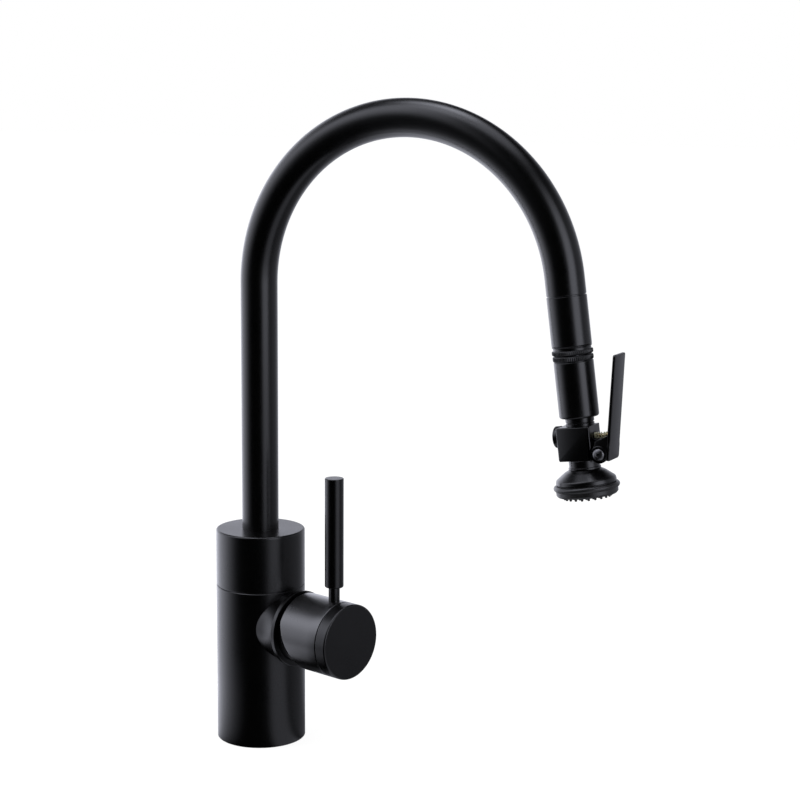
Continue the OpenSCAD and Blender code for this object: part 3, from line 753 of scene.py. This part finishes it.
class FAUCET_OT_rings(bpy.types.Operator):
    """Knurled rings: the twist lock above and the wand's own ring below it"""
    bl_idname = "faucet.rings"
    bl_label = "Knurled rings"

    def execute(self, context):
        teeth = sizes().knurl_teeth
        sides = teeth * 6
        t = np.degrees(circle(sides))
        # two slots in the lock's lip let the sleeve's lugs in
        slot = (np.abs(t - 90) < 18) | (np.abs(t - 270) < 18)
        lip, bore, groove = np.where(slot, 11.1, 9.5), 11.3, 12.15
        lock = turned(WAND, [
            (bore, 42.9), (12.5, 42.9), (12.7, 42.97), (12.8, 43.1), (12.8, 43.3),
            (12.7, 43.45), (12.5, 43.55), (12.2, 43.65), (groove, 43.8), (groove, 45.3),
            *band(13.15, 45.35, 48.35, 0.8, 0.4, teeth, sides), (12, 48.5), (lip, 48.5),
            (lip, 47.1), (bore, 47.1)], sides, closed=True)
        grip = turned(WAND, [
            (9.5, 48.8), (12, 48.8), *band(13, 48.95, 52.25, 0.6, 0.4, teeth, sides),
            (12.1, 52.35), (11.7, 52.35), (11.7, 49.8), (9.5, 49.8)], sides, closed=True)
        make_piece("twist_ring", [lock], "twist_lock", "lock_ring", sharp=60)
        make_piece("wand_ring", [grip], "wand", "grip_ring", sharp=60)
        return {"FINISHED"}


class FAUCET_OT_grip(bpy.types.Operator):
    """Wand grip and the stepped neck under it"""
    bl_idname = "faucet.grip"
    bl_label = "Wand grip"

    def execute(self, context):
        r = mm(sizes().grip_radius)
        grip = [(10.7, 49.8, 0), (11.7, 49.8, 0), (11.7, GRIP_TOP, 0), (r, GRIP_TOP, 0.5),
                (r, GRIP_FOOT, 1.5), (8.8, GRIP_FOOT, 0), (8.8, 85.6, 0), (10.7, 85.6, 0)]
        neck = [(4.2, 84.1, 0), (8.7, 84.1, 0), (8.7, 88.6, 0), (9.15, 88.6, 0.1),
                (9.15, 91.2, 0.15), (8.6, 91.5, 0.1), (8.6, 91.9, 0.1), (9.1, 92.2, 0.15),
                (9.1, BLOCK_TOP, 0), (6.5, BLOCK_TOP, 0), (6.5, 95.5, 0), (4.2, 95.5, 0)]
        make_piece("wand_grip", [lathed(WAND, grip)], "wand", "grip_sleeve")
        make_piece("wand_collar", [lathed(WAND, neck)], "wand", "wand_neck")
        return {"FINISHED"}


def between(outline, count):
    """The open outline sampled at count points, evenly along its length."""
    steps = np.linalg.norm(np.diff(outline, axis=0), axis=1)
    along = np.concatenate([[0], np.cumsum(steps)])
    at = np.linspace(0, along[-1], count)
    return np.stack([np.interp(at, along, outline[:, k]) for k in (0, 1)], -1)


def arc(centre, radius, start, end, count):
    """Points centre + radius * (cos t, sin t) for t from start to end, in degrees."""
    t = np.radians(np.linspace(start, end, count))
    return np.asarray(centre) + radius * np.stack([np.cos(t), np.sin(t)], -1)


class FAUCET_OT_block(bpy.types.Operator):
    """Valve block: its cross section in the plane of the lever changes across the
    block, from cheeks with a bite round each ear to a middle with the pivot's tongue"""
    bl_idname = "faucet.block"
    bl_label = "Valve block"

    def execute(self, context):
        left, right, top, bottom = BLOCK_BACK, BLOCK_FRONT, BLOCK_TOP, BLOCK_FOOT
        tongue, bite_radius = 3.9, 6.3
        drop = bottom - PIVOT_AT[1]
        back = eased([(right, bottom, 0), (left, bottom, 1.2), (left, top, 1.2),
                      (right, top, 0)])[1:-1]
        reach = math.degrees(math.acos((right - PIVOT_AT[0]) / bite_radius))
        foot = 180 - math.degrees(math.asin(drop / bite_radius))
        bite = np.vstack([[(right, top)], arc(PIVOT_AT, bite_radius, 360 - reach, foot, 24)])
        under = math.degrees(math.asin(drop / tongue))
        nose = np.vstack([[(right, top), (right, TONGUE_TOP), (16.4, TONGUE_TOP),
                           (17.4, TONGUE_TOP + 1)],
                          arc(PIVOT_AT, tongue, 0, under, 16), [(right, bottom)]])
        cheek = np.vstack([back, between(bite, 48)])
        middle = np.vstack([back, between(nose, 48)])
        # x along the lever's side, y down the wand, z across the block
        across = Place(WAND.origin, WAND.axes[0], WAND.axes[2], -WAND.axes[1])
        half, ear_gap = 9.25, 6.1
        block = slab(across, cheek, -half, half, 0.8, [
            (-ear_gap, cheek), (-ear_gap, middle), (ear_gap, middle), (ear_gap, cheek)])
        make_piece("valve_body", [block], "wand", "valve_block",
                   finish("crowned powder coat", crowned_coat))
        return {"FINISHED"}


class FAUCET_OT_plug(bpy.types.Operator):
    """Bore plug: the round end of the valve's cross bore, away from the lever"""
    bl_idname = "faucet.plug"
    bl_label = "Bore plug"

    def execute(self, context):
        head, shank, shank_end = 7.05, 6.2, -9.6
        profile = eased([(0, PLUG_END, 0), (head, PLUG_END, 0.7), (head, BLOCK_BACK, 0),
                         (shank, BLOCK_BACK, 0), (shank, shank_end, 0), (0, shank_end, 0)])
        make_piece("bore_cap", [turned(VALVE, profile, 72)], "wand", "bore_plug")
        return {"FINISHED"}


class FAUCET_OT_pivot(bpy.types.Operator):
    """Pivot screw: a shank through the block, with a hexagon socket in its head"""
    bl_idname = "faucet.pivot"
    bl_label = "Pivot screw"

    def execute(self, context):
        sides = 72
        t = circle(sides)
        # distance to a hexagon's side at each angle, with corners 1.2 from its middle
        socket = 1.2 * math.cos(np.pi / 6) / np.cos((t + np.pi / 6) % (np.pi / 3) - np.pi / 6)
        head, shank = 3.9, 2.5
        dome = [(head * math.cos(a), 9.6 + 1.7 * math.sin(a))
                for a in np.radians(range(0, 66, 6))]
        profile = [(0, -10.6), (shank - 0.2, -10.6), (shank, -10.4), (shank, 9.2), (3.8, 9.2),
                   (3.88, 9.3), (head, 9.45), *dome, (socket + 0.15, 11.2), (socket, 11.05),
                   (socket, 10.1), (0, 10)]
        place = Place(PIVOT.origin, (1, 0, 0), (0, 0, 1), (0, -1, 0))
        make_piece("pivot_screw", [turned(place, profile, sides)], "wand", "pivot_pin",
                   finish("black oxide", black_oxide))
        return {"FINISHED"}


class FAUCET_OT_bell(bpy.types.Operator):
    """Spray bell: the nut under the block and the flared cup below it"""
    bl_idname = "faucet.bell"
    bl_label = "Spray bell"

    def execute(self, context):
        bore, spigot, neck = 4.5, 6.5, 9.8
        nut = [(bore, BLOCK_FOOT, 0), (neck, BLOCK_FOOT, 0.2), (neck, 120.15, 0),
               (10.3, 120.4, 0.15), (10.3, NUT_FOOT, 0.2), (spigot, NUT_FOOT, 0),
               (spigot, BELL_SEAT, 0), (bore, BELL_SEAT, 0)]
        cup = [(spigot, BELL_SEAT, 0), (spigot, NUT_FOOT, 0), (neck, NUT_FOOT, 0.1),
               (13.2, 123.4, 6), (19.05, 127.9, 1.6), (19.4, BELL_RIM, 0.5),
               (17.4, BELL_RIM, 0), (17.4, 128.8, 0), (16.2, 127.8, 0), (8, 123.4, 0),
               (bore, 123.4, 0), (bore, BELL_SEAT, 0)]
        make_piece("bell_collar", [lathed(WAND, nut)], "wand", "bell_nut")
        make_piece("bell_cup", [lathed(WAND, cup, 176)], "wand", "spray_bell")
        return {"FINISHED"}


def nozzles(rows, low, high, radius):
    """Soft nozzles: for each (distance, count) of rows, count short posts stand round a
    circle. A post is a profile (r, h) turned round its own axis, with a rounded tip."""
    profile = np.array([(1.25, low), (1.05, low + 0.25), (0.9, low + 0.7), (0.84, high - 0.35),
                        (0.7, high - 0.1), (0.42, high)]) * (radius / 0.84, 1)
    levels, sides = len(profile), 12
    t = circle(sides)
    shells = []
    for distance, count in rows:
        for turn in circle(count):
            post = np.stack([profile[:, :1] * np.cos(t) + distance * math.cos(turn),
                             profile[:, :1] * np.sin(t) + distance * math.sin(turn),
                             np.broadcast_to(profile[:, 1:], (levels, sides))], -1)
            shells.append(capped(WAND.at(post.reshape(-1, 3)), levels, sides))
    return shells


class FAUCET_OT_spray_face(bpy.types.Operator):
    """Spray face: a rubber disc with a round rim, a step, and rings of soft nozzles"""
    bl_idname = "faucet.spray_face"
    bl_label = "Spray face"

    def execute(self, context):
        r = mm(sizes().face_radius)
        bead, seat, screw_r, dimple_r, back = 1.75, 16.5, 1.5, 3.3, 133.4
        rim = arc((r - bead, FACE_TOP + bead), bead, -84, 66, 17)
        front = eased([(19.85, 134.8, 0), (19.75, 137.3, 0.6), (18.6, 138.5, 0.6),
                       (16.6, FACE_FOOT, 0.3), (dimple_r, FACE_FOOT, 0.2), (dimple_r, 137, 0)])
        disc = turned(WAND, np.vstack([
            [(seat, FACE_TOP), (r - bead, FACE_TOP)], rim, front,
            [(screw_r, 137), (screw_r, back), (seat, back)]]), 176, closed=True)
        rows = [(6.2, 8), (10.5, 15), (14.8, 22)]
        make_piece("rubber_face", [disc] + nozzles(rows, FACE_FOOT - 0.5, NOZZLE_TIP, 0.8),
                   "wand", "spray_face", slot="rubber")
        return {"FINISHED"}


class FAUCET_OT_lever(bpy.types.Operator):
    """Squeeze lever: a tapered plate with an ear at each side of its foot"""
    bl_idname = "faucet.lever"
    bl_label = "Squeeze lever"

    def execute(self, context):
        rim = 0.5
        half = mm(sizes().lever_width) / 2 - rim
        # x away from the wand, z up the lever, y across it
        lean = math.radians(LEVER_LEAN)
        out, down = WAND.axes[0], WAND.axes[2]
        x = math.cos(lean) * out + math.sin(lean) * down
        z = math.sin(lean) * out - math.cos(lean) * down
        y = np.cross(z, x)
        foot, tip, side = -3.6, 63.9, half - 0.5
        plate = eased([(-half, foot, 2), (half, foot, 2), (half, 5, 4), (side, 8, 4),
                       (side, tip, 1.2), (-side, tip, 1.2), (-side, 8, 4), (-half, 5, 4)],
                      closed=True)
        up = (plate[:, 1] - foot) / (tip - foot)
        board = slab(Place(PIVOT.origin, y, z, x), plate, 4.3 + 0.8 * up, 6.9 + 0.3 * up, 0.6)
        thick = 2.6
        ear = np.vstack([[(5.4, -3.0), (5.4, 12.8), (-1.8, 8.9), (-3.0, 8.1)],
                         arc((0, 0), 5.7, 134, 318, 40)])
        ears = [slab(Place(PIVOT.origin, x, z, -y), ear, low, low + thick, 0.4)
                for low in (-half, half - thick)]
        t = circle(96)
        rims = []
        for way in (1, -1):
            # the rim round the ear fades out towards the block
            proud = rim * np.clip(0.5 + 1.6 * np.cos(t - math.radians(50 * way)), 0, 1)
            crest = [(r, half + proud * share) for r, share in (
                (4.5, 0.6), (4.75, 0.93), (5, 1), (5.25, 0.93), (5.5, 0.6))]
            lip = [(4.4, half - 0.1), *crest, (5.6, half - 0.1)]
            rims.append(turned(Place(PIVOT.origin, x, way * z, -way * y), lip, 96, True))
        make_piece("lever_plate", [board] + ears + rims, "lever", "squeeze_lever")
        return {"FINISHED"}


class FAUCET_OT_spring(bpy.types.Operator):
    """Return spring: round wire along a helix with its end turns closed up"""
    bl_idname = "faucet.spring"
    bl_label = "Return spring"

    def execute(self, context):
        turns, wire, coil = sizes().spring_turns, 0.36, 1.75
        low, high = 9.66, 17.89
        u = np.linspace(0, 1, turns * 40 + 1)
        rise = u - np.sin(2 * np.pi * u) / (2 * np.pi) * 0.55
        t = 2 * np.pi * turns * u
        radial = np.stack([np.cos(t), np.sin(t), 0 * t], -1)
        axis = np.tile((0.0, 0.0, 1.0), (len(t), 1))
        centres = coil * radial + axis * (low + (high - low) * rise)[:, None]
        made = pipe(VALVE.at(centres), radial @ VALVE.axes, axis @ VALVE.axes,
                    np.full(len(t), wire), 10, False)
        piece = make_piece("valve_spring", [made], None, "return_spring",
                           finish("spring brass", spring_brass), slot="brass")
        metres(VALVE, low + 0.3)
        metres(VALVE, high - 0.3)
        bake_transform(piece)
        return {"FINISHED"}


class FAUCET_OT_hose(bpy.types.Operator):
    """Hose tail: braided hose turned round the wand's axis as one tube, tied to no body"""
    bl_idname = "faucet.hose"
    bl_label = "Hose tail"

    def execute(self, context):
        # the rings are close together from fixed to crimp, where the real hose stretches as
        # the wand is pulled; nothing here stretches it
        fixed, crimp = 12, 24
        s = np.concatenate([np.linspace(0.1, fixed, 12), np.linspace(fixed + 0.1, crimp, 120),
                            np.linspace(crimp + 0.5, 49.8, 30)])
        outer = np.column_stack([np.full(len(s), 5.5), s])
        inner = np.column_stack([np.full(len(s), 3.8), s])[::-1]
        piece = make_piece("hose_run", [turned(WAND, np.vstack([outer, inner]), 48, True)],
                           None, "hose_tail", slot="nylon")
        metres(WAND, fixed)
        metres(WAND, crimp)
        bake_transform(piece)
        return {"FINISHED"}


class FAUCET_OT_inner_parts(bpy.types.Operator):
    """Inner parts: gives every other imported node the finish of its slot"""
    bl_idname = "faucet.inner_parts"
    bl_label = "Inner parts"

    def execute(self, context):
        for part in frame["record"]["subparts"]:
            coat_node(part["node"], finish_of(part["material_slot"]))
        # two small parts that are seen are made black: the thrust washer in black acetal, and
        # the brass gland bush in the powder coat, whose black is a painted shade for the shade
        # that the bush sits in beside the spring
        coat_node("thrust_washer", finish("black acetal", black_acetal))
        coat_node("gland_bush", finish_of("black_body"))
        return {"FINISHED"}


def rays(shader):
    """Whether the ray comes from the camera, and whether it is mirrored or refracted."""
    seen, glossy, refracted = (
        shader.node("ShaderNodeLightPath", output="Is " + kind + " Ray")
        for kind in ("Camera", "Glossy", "Transmission"))
    return seen, shader.maths("MAXIMUM", glossy, refracted)


# The room that the finishes mirror, as soft windows: heading from the studio's front,
# how far to its side it is full and where it ends, the heights where its foot starts and
# is full and where its top is full and ends, all in degrees, and its level
ROOM = (
    (-125, 12, 72, -130, -20, 10, 44, 1.85),
    (-120, 45, 90, -300, -70, -64, -42, 0.6),
    (-75, 14, 40, 5, 45, 66, 88, 2.2),
    (-165, 34, 46, 54, 70, 82, 100, 3.0),
    (0, 180, 200, 55, 72, 100, 110, 1.5),
    (45, 13, 28, -12, -2, 20, 50, 1.7),
    (45, 13, 28, -300, -20, 30, 60, 0.65),
    (110, 20, 55, -300, -20, 15, 50, 0.22),
    (118, 20, 60, -26, -6, 15, 50, 0.17),
    (180, 15, 60, -150, -8, 8, 34, 0.8),
)
# Its light is a little cool
COOL = (0.97, 0.99, 1.12, 1)
# Middle of the faucet, from which the floor takes its part of that room
MIDDLE = (0, 0, 0.25)
# Soft light that the background gives where it isn't mirrored
AMBIENT = 0.62
# How bright the floor is drawn, and how much of what the camera sees of it is drawn so
FLOOR_LEVEL, FLOOR_SHARE = 1.13, 0.8
# Each lamp's name, watts, width and height, place and aim, in metres: a large one to the
# left, a narrower one to the right and one overhead
LAMPS = (
    ("left lamp", 12, (0.9, 1.5), (-1.2, -0.9, 0.9), (0.05, 0, 0.25)),
    ("right lamp", 4, (0.6, 1.4), (1.5, 0.5, 0.7), (0.1, 0, 0.25)),
    ("top lamp", 7, (1.4, 1.4), (-0.1, 0.2, 1.9), (0.1, 0, 0.2)),
)
# The camera's place in metres, and its yaw, pitch and roll in degrees
CAMERA_AT = (0.69407, -1.10006, 0.46007)
CAMERA_TURN = (-27.965, 9.548, 0.381)


def room_light(shader, towards):
    """How light the room is in a direction: the sum over its windows of level * side *
    foot * top, each a smooth step of the angle to the window's heading or of the
    height angle."""
    flat = shader.vector("NORMALIZE", shader.vector("MULTIPLY", towards, (1, 1, 0)))
    rise = shader.maths("ARCSINE", shader.node(
        "ShaderNodeSeparateXYZ", {}, {0: towards}, output=2))

    def step(angle, zero, one):
        return shader.node("ShaderNodeMapRange", {"interpolation_type": "SMOOTHSTEP"}, {
            "Value": angle, "From Min": math.radians(zero), "From Max": math.radians(one)})

    total = 0
    for heading, full, ends, foot, foot_full, top_full, top, level in ROOM:
        a = math.radians(heading + FRONT)
        near = shader.vector("DOT_PRODUCT", flat, (math.cos(a), math.sin(a), 0),
                             output="Value")
        away = shader.maths("ARCCOSINE", near)
        total = (step(away, ends, full) * step(rise, foot, foot_full)
                 * step(rise, top, top_full) * level + total)
    return total


class FAUCET_OT_studio(bpy.types.Operator):
    """Studio: white floor and background, soft lamps and the camera"""
    bl_idname = "faucet.studio"
    bl_label = "Studio"

    def execute(self, context):
        scene = context.scene
        white = shade(scene.faucet_finish.backdrop)
        scene.view_settings.view_transform = "Standard"

        # Background: white where it is seen. Mirrored, it is a room that is light at the
        # sides and the back and dark in front; everything else gets plain soft light
        world = bpy.data.worlds.new("studio")
        scene.world = world
        shader = Shader(world)
        towards = shader.node("ShaderNodeTexCoord", output="Generated")
        seen, mirrored = rays(shader)
        strength = seen + (1 - seen) * (mirrored * room_light(shader, towards)
                                        + (1 - mirrored) * AMBIENT)
        light = shader.node("ShaderNodeBackground", {}, {
            "Color": shader.blend(mirrored, white, COOL), "Strength": strength})
        shader.node("ShaderNodeOutputWorld", {}, {"Surface": light})

        # Floor: mostly plain white to the camera, and the rest lit, to keep the shadow
        reach = 12.0
        mesh = bpy.data.meshes.new("floor")
        mesh.from_pydata([(x * reach, y * reach, 0) for x, y in
                          ((-1, -1), (1, -1), (1, 1), (-1, 1))], [], [(0, 1, 2, 3)])
        floor = add_object("floor", mesh)
        material = bpy.data.materials.new("floor white")
        shader = Shader(material)
        seen, mirrored = rays(shader)
        place = shader.node("ShaderNodeTexCoord", output="Object")
        towards = shader.vector("NORMALIZE", shader.vector("SUBTRACT", place, MIDDLE))
        plain = shader.node("ShaderNodeEmission", {}, {
            "Color": shader.blend(mirrored, white, COOL),
            "Strength": seen * FLOOR_LEVEL + mirrored * room_light(shader, towards)})
        matt = shader.node("ShaderNodeBsdfDiffuse", {}, {"Color": (0.9, 0.9, 0.9, 1)})
        made = shader.node("ShaderNodeMixShader", {}, {
            0: seen * FLOOR_SHARE + mirrored, 1: matt, 2: plain})
        shader.node("ShaderNodeOutputMaterial", {}, {"Surface": made})
        mesh.materials.append(material)

        # Lamps: none is mirrored, as the room above is
        for name, energy, size, place, aim in LAMPS:
            data = bpy.data.lights.new(name, "AREA")
            data.shape, data.size, data.size_y, data.energy = "RECTANGLE", *size, energy
            lamp = add_object(name, data)
            lamp.visible_glossy = False
            back = np.array(place) - np.array(aim)
            back = back / np.linalg.norm(back)
            side = np.cross((0, 0, 1), back)
            side = side / np.linalg.norm(side)
            lamp.matrix_world = posed(place, side, np.cross(back, side), back)

        # Camera
        yaw, pitch, roll = map(math.radians, CAMERA_TURN)
        forward = np.array((math.sin(yaw) * math.cos(pitch), math.cos(yaw) * math.cos(pitch),
                            -math.sin(pitch)))
        level = np.array((math.cos(yaw), -math.sin(yaw), 0))
        upright = np.cross(level, forward)
        right = level * math.cos(roll) + upright * math.sin(roll)
        up = upright * math.cos(roll) - level * math.sin(roll)
        data = bpy.data.cameras.new("camera")
        data.lens, data.sensor_width = 85.429, 36.0
        data.clip_start, data.clip_end = 0.05, 50
        scene.camera = add_object("camera", data)
        scene.camera.matrix_world = posed(CAMERA_AT, right, up, -forward)
        return {"FINISHED"}


def posed(place, x, y, z):
    """Matrix that puts an object at place with its axes along x, y and z."""
    return Matrix([[x[k], y[k], z[k], place[k]] for k in range(3)] + [[0, 0, 0, 1]])


OPERATORS = (
    FAUCET_OT_inner_parts, FAUCET_OT_base_shell, FAUCET_OT_hub, FAUCET_OT_spout,
    FAUCET_OT_ferrule, FAUCET_OT_bonnet, FAUCET_OT_handle, FAUCET_OT_rod, FAUCET_OT_rings,
    FAUCET_OT_grip, FAUCET_OT_block, FAUCET_OT_plug, FAUCET_OT_pivot, FAUCET_OT_bell,
    FAUCET_OT_spray_face, FAUCET_OT_lever, FAUCET_OT_spring, FAUCET_OT_hose,
    FAUCET_OT_studio)


class FAUCET_PT_panel(bpy.types.Panel):
    """Sidebar panel that lists the settings and the operators"""
    bl_label = "Faucet"
    bl_idname = "FAUCET_PT_panel"
    bl_space_type = "VIEW_3D"
    bl_region_type = "UI"
    bl_category = "Faucet"

    def draw(self, context):
        for group in (context.scene.faucet_sizes, context.scene.faucet_finish):
            box = self.layout.box()
            for name in group.bl_rna.properties.keys():
                if name not in ("rna_type", "name"):
                    box.prop(group, name)
        for operator in OPERATORS:
            self.layout.operator(operator.bl_idname)


CLASSES = (FaucetSizes, FaucetFinish, *OPERATORS, FAUCET_PT_panel)


def register():
    for made in CLASSES:
        bpy.utils.register_class(made)
    bpy.types.Scene.faucet_sizes = PointerProperty(type=FaucetSizes)
    bpy.types.Scene.faucet_finish = PointerProperty(type=FaucetFinish)


def unregister():
    del bpy.types.Scene.faucet_finish
    del bpy.types.Scene.faucet_sizes
    for made in reversed(CLASSES):
        bpy.utils.unregister_class(made)


def main():
    register()
    for operator in OPERATORS:
        group, name = operator.bl_idname.split(".")
        getattr(getattr(bpy.ops, group), name)()


if __name__ == "__main__":
    main()
